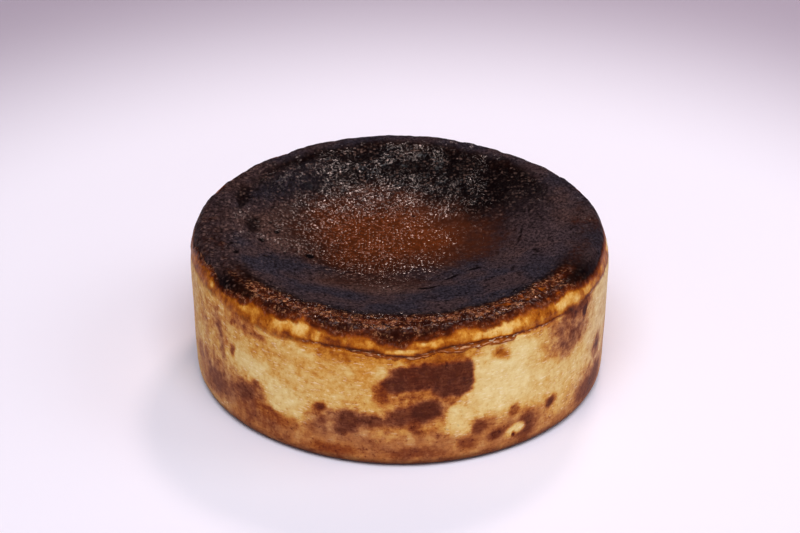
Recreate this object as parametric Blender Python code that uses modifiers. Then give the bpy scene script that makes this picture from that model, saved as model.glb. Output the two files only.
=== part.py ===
"""A whole burnt-top baked cheesecake: a straight-sided round whose scorched top has sunk into a
shallow dish, with a fold all round the side where the batter rose out of its mould.

The cake is one solid. A profile is turned, and every turned point is then moved by the same few
rules that make the real one uneven: a wavering rim, a side a little out of round, a fold that
rises and dips, and low lumps in the crust. Metres, +Z up, origin on the table under the centre.
"""

import math

import bpy
from mathutils import Vector, noise

# Driving sizes
RADIUS = 0.0750  # the side at its widest, just under the fold
RIM_HEIGHT = 0.0546  # table to the top of the rim, on average
FOOT_RADIUS = 0.0740  # the side just above its rounded bottom edge
FOOT_ROUND = 0.0037  # radius of that bottom edge

SHOULDER_WIDTH = 0.0049  # how far the shoulder leans in over the side
SHOULDER_DROP = 0.0131  # height over which it does so

DISH_DEPTH = 0.0084  # how far the middle has sunk below the rim
DISH_FLOOR = 0.0200  # radius of the level middle
DISH_CENTRE = (-0.0012, 0.0008)  # the middle sank a little off centre

SEAM_HEIGHT = 0.0468  # the fold, on average
SEAM_REACH = 0.0090  # height over which the side follows the fold up and down
SEAM_DEPTH = 0.0011  # how far the crease of the fold cuts in where it is deepest

# The fold's height all round: degrees from the front, positive to the right, then metres
SEAM_ROUTE = (
    (-170, 0.0464),
    (-140, 0.0475),
    (-110, 0.0462),
    (-76, 0.0474),
    (-60, 0.0472),
    (-36, 0.0456),
    (-20, 0.0472),
    (-9, 0.0470),
    (2, 0.0454),
    (13, 0.0479),
    (24, 0.0484),
    (36, 0.0472),
    (60, 0.0470),
    (90, 0.0458),
    (125, 0.0476),
    (158, 0.0460),
)
# Where the crease is deep: its middle and its half width in degrees, then its share of SEAM_DEPTH
SEAM_DEEP_SPANS = ((-10, 22, 0.65), (24, 34, 1.0), (74, 22, 0.40), (150, 40, 0.6), (-120, 45, 0.45))
SEAM_LEAST = 0.18  # the share of SEAM_DEPTH that is left everywhere else

# Waves round the cake: how many to a turn, the height of each, and the angle of its first crest
RIM_WAVES = ((1, 0.00050, 150), (2, 0.00030, 145), (5, 0.00016, 20), (9, 0.00010, 8))
SIDE_WAVES = ((2, 0.00022, 160), (3, 0.00016, 55), (7, 0.00007, 12))

# Lumps in the surface: the distance between them, and how far they stand out in each zone
LUMP_SIZES = (0.0160, 0.0085)
LUMP_SHARES = (0.6, 0.4)
LUMP_ON_DISH = 0.00075
LUMP_ON_RIM = 0.00095
LUMP_ON_SHOULDER = 0.00050
LUMP_ON_SIDE = 0.00022
LUMP_SEED = Vector((3.7, 11.2, 5.9))

# Fineness of the turned shape
TURN_STEPS = 108
DISH_RINGS = 21
CREST_SHARES = (0.10, 0.27, 0.45, 0.62, 0.80)  # shares of the shoulder's quarter turn
SEAM_RINGS = (0.0030, 0.0013, 0.0004, -0.0006, -0.0020)  # above and below the fold
SIDE_RINGS = 8
FOOT_RINGS = 4
BASE_RADII = (0.058, 0.034)

CHAR_EDGE = 0.0522  # the scorch ends here on the shoulder
CRUST_COLOUR = (0.017, 0.010, 0.009)
SIDE_COLOUR = (0.560, 0.330, 0.115)


def smooth(low, high, value):
    """0 below low, 1 above high, with a soft ease between them."""
    t = min(1.0, max(0.0, (value - low) / (high - low)))
    return t * t * (3 - 2 * t)


def wave(angle, waves):
    """The sum of a few waves at this angle, in radians, round the cake."""
    return sum(size * math.cos(count * (angle - math.radians(crest))) for count, size, crest in waves)


def turn_from(degrees, middle):
    """How far round it is from one angle to another, at most half a turn either way."""
    return (degrees - middle + 180) % 360 - 180


def seam_height(degrees):
    """The fold's height, eased from one point of its route to the next."""
    for index, (start, low) in enumerate(SEAM_ROUTE):
        end, high = SEAM_ROUTE[(index + 1) % len(SEAM_ROUTE)]
        span = (end - start) % 360
        ahead = (degrees - start) % 360
        if ahead <= span:
            return low + (high - low) * smooth(0, span, ahead)
    return SEAM_HEIGHT


def seam_strength(degrees):
    """The share of SEAM_DEPTH that the crease has here."""
    spans = (share * (1 - smooth(0.5, 1.0, abs(turn_from(degrees, middle)) / half))
             for middle, half, share in SEAM_DEEP_SPANS)
    return max(SEAM_LEAST, *spans)


def crease(above_seam):
    """The fold seen in section: a lip of skin, a narrow crease over it and the band that hangs above."""
    groove = -math.exp(-((above_seam - 0.0002) / 0.0008) ** 2)
    lip = 0.30 * math.exp(-((above_seam + 0.0012) / 0.0009) ** 2)
    band = 0.38 * math.exp(-((above_seam - 0.0026) / 0.0017) ** 2)
    return groove + lip + band


def side_radius(height):
    """The outside of the cake at this height, from its rounded foot to the top of its shoulder."""
    widest = RIM_HEIGHT - SHOULDER_DROP
    if height < FOOT_ROUND:
        lean = math.sqrt(max(0.0, 1 - ((FOOT_ROUND - height) / FOOT_ROUND) ** 2))
        return FOOT_RADIUS - FOOT_ROUND * (1 - lean)
    if height < widest:
        return FOOT_RADIUS + (RADIUS - FOOT_RADIUS) * (height - FOOT_ROUND) / (widest - FOOT_ROUND)
    lean = math.sqrt(max(0.0, 1 - ((height - widest) / SHOULDER_DROP) ** 2))
    return RADIUS - SHOULDER_WIDTH * (1 - lean)


def dish_height(radius):
    """The top of the cake at this distance from the middle."""
    crest = RADIUS - SHOULDER_WIDTH
    return RIM_HEIGHT - DISH_DEPTH * (1 - smooth(DISH_FLOOR, crest, radius))


def profile():
    """Half the cake's section, from the middle of its top down the side to the middle of its base."""
    crest = RADIUS - SHOULDER_WIDTH
    points = []
    for ring in range(DISH_RINGS + 1):
        radius = crest * (ring / DISH_RINGS) ** 0.86  # closer together towards the rim
        points.append((radius, dish_height(radius)))
    heights = [RIM_HEIGHT - SHOULDER_DROP * (1 - math.cos(math.radians(90 * share)))
               for share in CREST_SHARES]
    heights += [SEAM_HEIGHT + above for above in SEAM_RINGS]
    widest = RIM_HEIGHT - SHOULDER_DROP
    heights += [widest + (FOOT_ROUND - widest) * ring / SIDE_RINGS for ring in range(SIDE_RINGS + 1)]
    heights.sort(reverse=True)
    points += [(side_radius(height), height) for height in heights]
    for ring in range(1, FOOT_RINGS + 1):
        turn = math.radians(90 * ring / FOOT_RINGS)
        points.append((FOOT_RADIUS - FOOT_ROUND * (1 - math.cos(turn)), FOOT_ROUND * (1 - math.sin(turn))))
    points += [(radius, 0.0) for radius in BASE_RADII]
    points.append((0.0, 0.0))
    return points


def turned(name, points):
    """The profile turned once round, as a closed mesh object."""
    outline = bpy.data.meshes.new(name + "_outline")
    edges = [(index, index + 1) for index in range(len(points) - 1)]
    outline.from_pydata([(radius, 0.0, height) for radius, height in points], edges, [])
    wire = bpy.data.objects.new(name + "_outline", outline)
    bpy.context.scene.collection.objects.link(wire)
    screw = wire.modifiers.new("Turn", "SCREW")
    screw.axis = "Z"
    screw.angle = math.tau
    screw.steps = TURN_STEPS
    screw.render_steps = TURN_STEPS
    screw.use_merge_vertices = True
    screw.merge_threshold = 0.00005
    evaluated = wire.evaluated_get(bpy.context.evaluated_depsgraph_get())
    mesh = bpy.data.meshes.new_from_object(evaluated)
    mesh.name = name
    bpy.data.objects.remove(wire)
    bpy.data.meshes.remove(outline)
    return bpy.data.objects.new(name, mesh)


def lumps(place):
    """Low lumps from -1 to 1, the same at each run."""
    return sum(share * noise.noise(place / size + LUMP_SEED)
               for size, share in zip(LUMP_SIZES, LUMP_SHARES))


def lump_reach(radius, height, on_top):
    """How far the lumps may stand out here."""
    if on_top:
        return LUMP_ON_DISH + (LUMP_ON_RIM - LUMP_ON_DISH) * smooth(0.050, 0.064, radius)
    shoulder = smooth(SEAM_HEIGHT, RIM_HEIGHT, height)
    side = LUMP_ON_SIDE + (LUMP_ON_SHOULDER - LUMP_ON_SIDE) * smooth(0.043, SEAM_HEIGHT, height)
    reach = side + (LUMP_ON_RIM - side) * shoulder
    return reach * smooth(0.0, 2 * FOOT_ROUND, height)


def uneven(point, normal):
    """Where a turned point lies on the real, hand-baked cake."""
    radius = math.hypot(point.x, point.y)
    height = point.z
    angle = math.atan2(point.y, point.x)
    degrees = turn_from(math.degrees(angle) + 90, 0)
    crest = RADIUS - SHOULDER_WIDTH
    on_top = radius <= crest and height > RIM_HEIGHT / 2
    if on_top:
        sag = smooth(crest, 0, radius)
        point = point + Vector((DISH_CENTRE[0] * sag, DISH_CENTRE[1] * sag, 0))
    elif height > FOOT_ROUND:
        above = height - SEAM_HEIGHT
        follow = 1 - smooth(0, 1, abs(above) / SEAM_REACH)
        height += (seam_height(degrees) - SEAM_HEIGHT) * follow
        out = side_radius(height) + SEAM_DEPTH * seam_strength(degrees) * crease(above)
        point = Vector((math.cos(angle) * out, math.sin(angle) * out, height))
    out_of_round = wave(angle, SIDE_WAVES) * smooth(0, RADIUS, radius)
    point += Vector((math.cos(angle), math.sin(angle), 0)) * out_of_round
    rise = smooth(0.020, 0.050, height) * smooth(0.005, 0.062, radius)
    point.z += wave(angle, RIM_WAVES) * rise
    return point + normal * lumps(point) * lump_reach(radius, height, on_top)


def centred(mesh):
    """Puts the middle of the cake's outline over the origin."""
    for axis in (0, 1):
        reach = [vertex.co[axis] for vertex in mesh.vertices]
        middle = (min(reach) + max(reach)) / 2
        for vertex in mesh.vertices:
            vertex.co[axis] -= middle


def baked(name, colour, roughness):
    """A material for one of the cake's two surfaces."""
    material = bpy.data.materials.new(name)
    material.use_nodes = True
    shader = material.node_tree.nodes["Principled BSDF"]
    shader.inputs["Base Color"].default_value = (*colour, 1)
    shader.inputs["Roughness"].default_value = roughness
    shader.inputs["Metallic"].default_value = 0.0
    return material


def make_cheesecake(collection):
    cake = turned("cheesecake", profile())
    mesh = cake.data
    moved = [uneven(vertex.co.copy(), vertex.normal.copy()) for vertex in mesh.vertices]
    for vertex, place in zip(mesh.vertices, moved):
        vertex.co = place
    centred(mesh)
    mesh.materials.append(baked("Golden side", SIDE_COLOUR, 0.55))
    mesh.materials.append(baked("Burnt crust", CRUST_COLOUR, 0.35))
    for face in mesh.polygons:
        on_dish = face.normal.z > 0.3
        face.material_index = int(on_dish or face.center.z > CHAR_EDGE)
    mesh.shade_smooth()
    collection.objects.link(cake)
    return cake


def main():
    for old in list(bpy.data.objects):
        bpy.data.objects.remove(old)
    collection = bpy.data.collections.new("Cheesecake")
    bpy.context.scene.collection.children.link(collection)
    make_cheesecake(collection)


main()
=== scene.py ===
# Burnt-top cheesecake on a pale studio table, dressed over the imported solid.
import math
import random

import bmesh
import bpy
import numpy as np
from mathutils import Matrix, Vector, noise
from mathutils.bvhtree import BVHTree


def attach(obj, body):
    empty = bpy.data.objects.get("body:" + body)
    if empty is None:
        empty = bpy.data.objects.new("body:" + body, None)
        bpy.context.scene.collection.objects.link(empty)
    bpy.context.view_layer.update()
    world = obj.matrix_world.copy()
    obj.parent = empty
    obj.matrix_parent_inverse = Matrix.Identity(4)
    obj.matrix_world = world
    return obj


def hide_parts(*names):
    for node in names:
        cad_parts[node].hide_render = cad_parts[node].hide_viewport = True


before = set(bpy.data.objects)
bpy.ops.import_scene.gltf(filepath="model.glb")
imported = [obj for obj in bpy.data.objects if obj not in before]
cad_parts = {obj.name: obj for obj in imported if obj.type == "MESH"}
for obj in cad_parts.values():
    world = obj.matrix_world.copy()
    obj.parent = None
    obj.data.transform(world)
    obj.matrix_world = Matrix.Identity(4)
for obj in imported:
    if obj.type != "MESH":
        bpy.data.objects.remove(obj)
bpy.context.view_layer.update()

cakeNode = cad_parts["cheesecake"]
scene = bpy.context.scene
mm = 0.001

# Angles round the cake are in degrees from the front, positive to the right. Lengths on the cake are in
# mm, with x to the right, y away from the camera and z up. The studio's lengths are in metres.


def ease(low, high, value):  # 0 below low, 1 above high, soft between
    t = np.clip((value - low) / (high - low), 0.0, 1.0)
    return t * t * (3 - 2 * t)


def turnFrom(around, middle):  # shortest way round from one angle to another
    return (around - middle + 180) % 360 - 180


def alongRoute(route, around):  # height of a line that runs all round, eased from point to point
    stops = np.array(route + [(route[0][0] + 360, route[0][1])], float)
    ahead = (around - stops[0, 0]) % 360 + stops[0, 0]
    step = np.clip(np.searchsorted(stops[:, 0], ahead, side="right") - 1, 0, len(route) - 1)
    start, end = stops[step], stops[step + 1]
    return start[:, 1] + (end[:, 1] - start[:, 1]) * ease(start[:, 0], end[:, 0], ahead)


def hexColour(code):  # a colour as seen on screen, such as "C47A1E", for a shader
    parts = [int(code[i:i + 2], 16) / 255 for i in (0, 2, 4)]
    return [p / 12.92 if p <= 0.04045 else ((p + 0.055) / 1.055) ** 2.4 for p in parts] + [1.0]


class Shading:  # small helpers that add nodes to one tree and wire them up
    def __init__(self, tree):
        self.tree = tree

    def plug(self, socket, value):  # a socket to link, a number or a colour's code
        if isinstance(value, bpy.types.NodeSocket):
            self.tree.links.new(value, socket)
        else:
            socket.default_value = hexColour(value) if isinstance(value, str) else value

    def add(self, kind, sockets, **settings):  # its sockets go by name or number
        made = self.tree.nodes.new("ShaderNode" + kind)
        for name, value in settings.items():
            setattr(made, name, value)
        for name, value in sockets.items():
            self.plug(made.inputs[name], value)
        return made

    def field(self, name):  # one of the tones laid on the skin
        return self.add("Attribute", {}, attribute_name=name).outputs["Fac"]

    def calc(self, kind, a, b=0.0):
        return self.add("Math", {0: a, 1: b}, operation=kind).outputs[0]

    def times(self, a, b):
        return self.calc("MULTIPLY", a, b)

    def plus(self, a, b):
        return self.calc("ADD", a, b)

    def step(self, value, low, high, under=0.0, over=1.0):  # under at low, over at high, soft between
        if low > high:
            low, high, under, over = high, low, over, under
        made = self.add("MapRange", {"Value": value, "From Min": low, "From Max": high,
                                     "To Min": under, "To Max": over}, interpolation_type="SMOOTHSTEP")
        return made.outputs["Result"]

    def spread(self, value, low, high):  # 0 to 1 stretched to low to high
        return self.add("MapRange", {"Value": value, "To Min": low, "To Max": high}).outputs["Result"]

    def mix(self, share, under, over):
        return self.add("Mix", {0: share, 6: under, 7: over}, data_type="RGBA").outputs[2]

    def mixNumber(self, share, under, over):
        return self.add("Mix", {0: share, 2: under, 3: over}).outputs[0]

    def ramp(self, value, stops):
        made = self.add("ValToRGB", {"Fac": value})
        elements = made.color_ramp.elements
        for place, (position, code) in enumerate(stops):
            element = elements[place] if place < 2 else elements.new(position)
            element.position = position
            element.color = hexColour(code)
        return made.outputs["Color"]

    def place(self, shape=(1, 1, 1)):  # object coordinates, stretched along an axis
        where = self.add("TexCoord", {}).outputs["Object"]
        return self.add("VectorMath", {0: where, 1: shape}, operation="MULTIPLY").outputs[0]

    def height(self):  # metres above the table
        return self.add("SeparateXYZ", {0: self.place()}).outputs["Z"]

    def hills(self, size, detail=3.0, rough=0.55, shape=(1, 1, 1)):  # noise with hills this many mm apart
        return self.add("TexNoise", {"Scale": 1000 / size, "Detail": detail, "Roughness": rough,
                                     "Vector": self.place(shape)}).outputs["Fac"]

    def cells(self, size, wander=0.45):  # packed cells, 0 at their middles, pulled out of true by chance
        pull = self.add("TexNoise", {"Scale": 700 / size, "Detail": 2.0, "Vector": self.place()})
        most = [2 * wander * size * mm] * 3
        shift = self.add("VectorMath", {0: pull.outputs["Color"], 1: most, 2: self.place()},
                         operation="MULTIPLY_ADD")
        return self.add("TexVoronoi", {"Scale": 1000 / size, "Vector": shift.outputs[0]})

    def domes(self, size):  # packed round domes of uneven height, at most 1 at their tops
        packed = self.cells(size)
        away = packed.outputs["Distance"]
        rounded = self.calc("SUBTRACT", 1.0, self.times(away, away))
        chance = self.add("SeparateColor", {0: packed.outputs["Color"]}).outputs[0]
        return self.times(rounded, self.spread(chance, 0.35, 1.0))

    def ridges(self, size):  # winding rounded ridges, 1 along their crests
        away = self.spread(self.hills(size, 2, 0.5), -3.4, 3.4)
        return self.calc("MAXIMUM", 0.0, self.calc("SUBTRACT", 1.0, self.times(away, away)))


def newPaint(name):  # a new material, the helpers for its nodes, and its shader
    paint = bpy.data.materials.new(name)
    paint.use_nodes = True
    return paint, Shading(paint.node_tree), paint.node_tree.nodes["Principled BSDF"]


# Camera at the photograph's angle

cameraSetup = {
    "elevation": 29.6,
    "distance": 0.900,
    "aim": (0.00015, 0.0, 0.03765),
    "lens": 112.23,
}


def makeCamera(setup):
    data = bpy.data.cameras.new("camera")
    data.lens = setup["lens"]
    data.sensor_width = 36
    data.clip_start = 0.01
    camera = bpy.data.objects.new("camera", data)
    scene.collection.objects.link(camera)
    rise = math.radians(setup["elevation"])
    back = Vector((0, -math.cos(rise), math.sin(rise)))
    camera.location = Vector(setup["aim"]) + back * setup["distance"]
    camera.rotation_euler = (-back).to_track_quat("-Z", "Y").to_euler()
    scene.camera = camera


makeCamera(cameraSetup)
print("camera set")

# Pale table and soft lights

studio = {
    "tableSize": 8.0,
    "tablePale": "F0EEF9",
    "tableFarShade": "AAA0B0",
    "tableRoughness": 0.85,
    "tableSpecular": 0.15,
    "fadeFrom": 0.19,  # distance from the cake where the table's colour starts to darken, a painted falloff of the light
    "fadeTo": 0.38,
    "skyColour": "F2E9F4",
    "skyBehind": 0.03,  # the room is dim behind the cake and lighter on the camera's side
    "skyInFront": 0.38,
    "skyLightSide": (0, -0.94, 0.34),  # the way from the cake to where the room is lightest
    "skyBlend": (-0.3, 0.9),  # from dim to light, by how far a direction points that way
}
# azimuth is where the light stands: 0 in front, 90 to the right, 180 behind; size is across and up
lights = {
    "frontSoftbox": {"azimuth": 0, "elevation": 64, "distance": 2.40, "size": (1.90, 1.50),
                     "watts": 47.5, "colour": "FCFBFF"},
    "rightSoftbox": {"azimuth": 86, "elevation": 42, "distance": 1.80, "size": (0.80, 0.80),
                     "watts": 5.6, "colour": "FCFBFF"},
    "backSoftbox": {"azimuth": 162, "elevation": 51, "distance": 1.20, "size": (0.20, 0.15),
                    "watts": 3.8, "colour": "FFE2DA"},
}


def makeSky(setup):
    world = bpy.data.worlds.new("studioSky")
    scene.world = world
    world.use_nodes = True
    s = Shading(world.node_tree)
    where = s.add("TexCoord", {}).outputs["Generated"]
    towards = s.add("VectorMath", {0: where, 1: setup["skyLightSide"]}, operation="DOT_PRODUCT")
    level = s.step(towards.outputs["Value"], *setup["skyBlend"], setup["skyBehind"], setup["skyInFront"])
    background = world.node_tree.nodes["Background"]
    s.plug(background.inputs["Color"], setup["skyColour"])
    s.plug(background.inputs["Strength"], level)


def makeTable(setup):
    mesh = bpy.data.meshes.new("table")
    bm = bmesh.new()
    bmesh.ops.create_grid(bm, x_segments=8, y_segments=8, size=setup["tableSize"] / 2)
    bm.to_mesh(mesh)
    bm.free()
    table = bpy.data.objects.new("table", mesh)
    scene.collection.objects.link(table)
    paint, s, shader = newPaint("tablePaper")
    where = s.add("TexCoord", {}).outputs["Object"]
    reach = s.add("VectorMath", {0: where}, operation="LENGTH").outputs["Value"]
    # painted shade: the table darkens away from the cake, standing in for the light falling off
    fade = s.step(reach, setup["fadeFrom"], setup["fadeTo"])
    colour = s.ramp(fade, ((0, setup["tablePale"]), (1, setup["tableFarShade"])))
    s.plug(shader.inputs["Base Color"], colour)
    s.plug(shader.inputs["Roughness"], setup["tableRoughness"])
    s.plug(shader.inputs["Specular IOR Level"], setup["tableSpecular"])
    mesh.materials.append(paint)


def makeLight(name, setup):
    data = bpy.data.lights.new(name, "AREA")
    data.shape = "RECTANGLE"
    data.size, data.size_y = setup["size"]
    data.energy = setup["watts"]
    data.color = hexColour(setup["colour"])[:3]
    lamp = bpy.data.objects.new(name, data)
    scene.collection.objects.link(lamp)
    turn, rise = math.radians(setup["azimuth"]), math.radians(setup["elevation"])
    out = Vector((math.sin(turn) * math.cos(rise), -math.cos(turn) * math.cos(rise), math.sin(rise)))
    lamp.location = out * setup["distance"]
    lamp.rotation_euler = (-out).to_track_quat("-Z", "Y").to_euler()


makeSky(studio)
makeTable(studio)
for lightName, lightSetup in lights.items():
    makeLight(lightName, lightSetup)
scene.view_settings.view_transform = "Standard"
print("studio set")

# The cake's skin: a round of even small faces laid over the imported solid

skin = {
    "topCells": 180,  # faces across the top; four times as many go round the side
    "topRadius": 60.0,
    "dropHeight": 90.0,  # rays for the top fall from here
    "spineHeight": 41.7,  # rays for the shoulder fan out from a circle at topRadius and this height
    "footRound": 3.7,
    "footRadius": 74.0,
    "fanStops": ((90, 30, 25), (30, 4, 17), (4, 0, 2)),  # from angle, to angle, rows
    "sideRows": 43,
    "footRows": 5,
    "reach": 36.0,  # how far out from that circle the rays start
    "weldWithin": 0.01,
    "sameFace": 0.9,  # radians by which joined triangles may be bent, and off square
    "offSquare": 1.2,
}


def smoothedSolid(setup):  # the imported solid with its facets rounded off, for rays to land on
    bm = bmesh.new()
    bm.from_mesh(cakeNode.data)
    bmesh.ops.remove_doubles(bm, verts=bm.verts, dist=setup["weldWithin"] * mm)
    bmesh.ops.join_triangles(bm, faces=bm.faces, angle_face_threshold=setup["sameFace"],
                             angle_shape_threshold=setup["offSquare"])
    mesh = bpy.data.meshes.new("solidCopy")
    bm.to_mesh(mesh)
    bm.free()
    copy = bpy.data.objects.new("solidCopy", mesh)
    scene.collection.objects.link(copy)
    rounding = copy.modifiers.new("rounding", "SUBSURF")
    rounding.levels = rounding.render_levels = 2
    tree = BVHTree.FromObject(copy, bpy.context.evaluated_depsgraph_get())
    bpy.data.objects.remove(copy)
    bpy.data.meshes.remove(mesh)
    return tree


def landOn(solid, start, towards, reach):
    hit = solid.ray_cast(start, towards, reach)[0]
    return hit if hit else start + towards * reach


def discPlace(a, b):  # a square of side 2 pulled into a round, its edge cells all alike
    if abs(a) >= abs(b):
        radius, turn = a, (math.pi / 4) * (b / a) if a else 0.0
    else:
        radius, turn = b, math.pi / 2 - (math.pi / 4) * (a / b)
    return radius * math.cos(turn), radius * math.sin(turn)


def fanRays(setup):  # for each row below the top: ray target's radius and height, and the ray's angle
    rows = []
    for begin, end, count in setup["fanStops"]:
        rows += [(setup["topRadius"], setup["spineHeight"], begin + (end - begin) * (i + 1) / count)
                 for i in range(count)]
    foot = setup["footRound"]
    drop = setup["spineHeight"] - foot
    for i in range(setup["sideRows"]):
        rows.append((setup["topRadius"], setup["spineHeight"] - drop * (i + 1) / setup["sideRows"], 0.0))
    for i in range(setup["footRows"]):
        rows.append((setup["footRadius"] - foot, foot, -90.0 * (i + 1) / setup["footRows"]))
    return rows


def makeSkin(setup):
    solid = smoothedSolid(setup)
    bm = bmesh.new()
    cells = setup["topCells"]
    drop = setup["dropHeight"] * mm
    bmesh.ops.create_grid(bm, x_segments=cells, y_segments=cells, size=1.0)
    for vert in bm.verts:
        x, y = discPlace(vert.co.x, vert.co.y)
        start = Vector((x * setup["topRadius"] * mm, y * setup["topRadius"] * mm, drop))
        vert.co = landOn(solid, start, Vector((0, 0, -1)), drop)
    edges = [edge for edge in bm.edges if edge.is_boundary]
    for radius, height, angle in fanRays(setup):
        grown = bmesh.ops.extrude_edge_only(bm, edges=edges)["geom"]
        edges = [part for part in grown if isinstance(part, bmesh.types.BMEdge)]
        edges = [edge for edge in edges if edge.is_boundary]
        rise = math.radians(angle)
        for vert in {vert for edge in edges for vert in edge.verts}:
            turn = Vector((vert.co.x, vert.co.y, 0)).normalized()
            out = turn * math.cos(rise) + Vector((0, 0, math.sin(rise)))
            spine = turn * radius * mm + Vector((0, 0, height * mm))
            vert.co = landOn(solid, spine + out * setup["reach"] * mm, -out, setup["reach"] * mm)
            vert.co.z = max(0.0, vert.co.z)
    for vert in {vert for edge in edges for vert in edge.verts}:
        vert.co.z = 0.0
    bmesh.ops.contextual_create(bm, geom=edges)
    bmesh.ops.recalc_face_normals(bm, faces=bm.faces)
    mesh = bpy.data.meshes.new("cakeSkin")
    bm.to_mesh(mesh)
    bm.free()
    mesh.shade_smooth()
    cake = bpy.data.objects.new("cakeSkin", mesh)
    scene.collection.objects.link(cake)
    return cake


cake = makeSkin(skin)
print("skin laid over the solid:", len(cake.data.polygons), "faces")

# Where each point of the skin lies, called p below, and soft noise to vary it with


class Places:
    def __init__(self, mesh):
        count = len(mesh.vertices)
        flat = np.zeros(count * 3)
        mesh.vertices.foreach_get("co", flat)
        self.metres = flat.reshape(-1, 3)
        normals = np.zeros(count * 3)
        mesh.vertices.foreach_get("normal", normals)
        self.normals = normals.reshape(-1, 3)
        self.x, self.y, self.z = (self.metres / mm).T
        self.radius = np.hypot(self.x, self.y)
        self.around = np.degrees(np.arctan2(self.x, -self.y))
        self.spots = [Vector(spot) for spot in self.metres / mm]
        self.onTop = (self.normals[:, 2] > 0.55) & (self.radius < 73.0)
        self.inFoot = 1 - ease(0.0, 6.0, self.z)


def grain(places, size, seed):  # soft random hills of this size in mm, from -1 to 1
    shift = Vector((seed * 7.31, seed * 3.17, seed * 5.73))
    return np.array([noise.noise(spot / size + shift) for spot in places.spots])


def domes(places, size, seed):  # packed little domes, 0.2 at their tops and lower in the creases between
    shift = Vector((seed * 2.9, seed * 6.1, seed * 4.3))
    return 0.2 - np.array([noise.voronoi(spot / size + shift)[0][0] ** 2 for spot in places.spots])


def facing(places, angle):  # 1 at this angle round the cake, -1 on the far side from it
    return np.cos(np.radians(turnFrom(places.around, angle)))


def degreesFrom(places, angle):
    return np.abs(turnFrom(places.around, angle))


def ridgeAcross(away, profile):  # a soft ridge beside a line: its middle, width and height
    middle, width, height = profile
    return height * np.exp(-((away - middle) / width) ** 2)


# The fold round the side, under the shoulder

fold = {
    # angle and height
    "route": [(-170, 46.4), (-140, 47.5), (-110, 46.2), (-76, 47.4), (-60, 47.2), (-36, 45.6),
              (-20, 47.2), (-9, 47.0), (2, 45.4), (13, 47.9), (24, 48.4), (36, 47.2), (60, 47.0),
              (90, 45.8), (125, 47.6), (158, 46.0)],
    # stretches where it is deeper: middle, half width, how deep from 0 to 1
    "deepSpans": [(-10, 22, 0.65), (24, 34, 1.0), (74, 22, 0.40), (150, 40, 0.6), (-120, 45, 0.45)],
    "least": 0.18,
    # relief across it: middle above its line, width, height
    "fill": (0.2, 0.8, 1.00),  # fills the solid's groove, before the thin crease is cut in it
    "crease": (0.12, 0.32, -0.15),
    "lip": (-0.85, 0.55, 0.12),
    # glazed rolls of batter just under the crease: middle, half width in degrees, height and thickness
    "rolls": [(-5.5, 8.5, 0.40, 0.62), (7, 7, 0.34, 0.50), (21, 15, 0.62, 0.85), (128, 14, 0.55, 0.80),
              (-118, 12, 0.50, 0.70), (171, 11, 0.55, 0.75)],
}

# The crust: where the scorch begins, and what varies over it

crust = {
    # angle and height of the edge of the scorch
    "edge": [(-157, 51.0), (-148, 53.4), (-139, 54.5), (-131, 52.2), (-124, 54.3), (-114, 52.6),
             (-103, 51.3), (-92, 51.2), (-84, 51.0), (-75, 52.4), (-66, 53.3), (-58, 51.6), (-49, 52.1),
             (-44, 53.7), (-38, 52.2), (-30, 53.5), (-27, 54.5), (-22, 52.8), (-17, 51.8), (-9, 52.4),
             (-4, 50.1), (0, 49.2), (5, 51.6), (12, 52.4), (18, 54.2), (24, 52.8), (38, 53.8),
             (45, 52.8), (52, 53.5), (61, 51.6), (68, 50.6), (76, 51.3), (88, 51.3), (104, 51.2),
             (118, 52.0), (131, 53.6), (146, 51.2), (163, 52.9), (180, 50.6)],
    # the shoulder's curve: the side's radius, the height where it starts, how far up and how far in it goes
    "shoulder": (75.0, 41.5, 13.1, 4.9),
    # sooty black hollows on the back and left slopes: x, y, half width, half depth
    "hollows": [(-11.4, 60.0, 5.6, 6.4), (20.0, 59.5, 3.0, 6.0), (39.8, 52.0, 3.2, 3.6),
                (-57.0, 23.0, 3.2, 8.5), (-52.5, 5.0, 3.4, 7.0)],
    # small chips out of the char along the far rim: middle, half width, how pale
    "chips": [(-136.4, 2.6, 1.0), (-112.5, 3.6, 1.0), (112, 3.0, 0.6), (163, 2.0, 0.6)],
    # soft patches: x, y, stretch along each, radius where it begins and is full, strength, raggedness
    "redPatches": [(-6.0, 8.0, 1.16, 1.02, 41.0, 8.0, 1.0, 1.0), (20.0, 5.0, 1.1, 1.0, 30.0, 6.0, 0.42, 1.0),
                   (-6.0, -26.0, 2.2, 0.8, 15.0, 3.0, 0.30, 1.0)],
    "ashPatches": [(-36.0, 5.0, 1.15, 1.0, 27.0, 8.0, 0.9, 1.0), (52.0, 8.0, 1.0, 1.6, 24.0, 8.0, 0.35, 1.0),
                   (-13.0, -29.0, 2.4, 1.0, 13.0, 4.0, 0.75, 0.6)],
}


def shareOfSpans(spans, around):  # the strongest of several stretches round the cake, soft at their ends
    shares = [share * (1 - ease(0.55, 1.0, np.abs(turnFrom(around, middle)) / half))
              for middle, half, share in spans]
    return np.max(shares, axis=0)


def shareOfPatches(p, patches, wander):  # the strongest of several patches, their edges made ragged
    shares = [strength * ease(begin, full, np.hypot((p.x - x) / wide, (p.y - y) / deep) + ragged * wander)
              for x, y, wide, deep, begin, full, strength, ragged in patches]
    return np.max(shares, axis=0)


def shoulderRadius(height):  # how far out the shoulder is at this height
    radius, start, up, inwards = crust["shoulder"]
    return radius - inwards * (1 - np.sqrt(np.clip(1 - ((height - start) / up) ** 2, 0, 1)))


def crustLumps(p):  # how lumpy the top is: most at the back, least on the front slope
    slope = 0.10 + 0.90 * ease(-0.30, 0.80, facing(p, 200))
    middle = ease(44.0, 22.0, p.radius)
    rim = ease(62.0, 67.5, p.radius)
    rough = slope * (1 - middle) + 0.30 * middle
    return rough * (1 - rim) + 0.45 * rim


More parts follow.
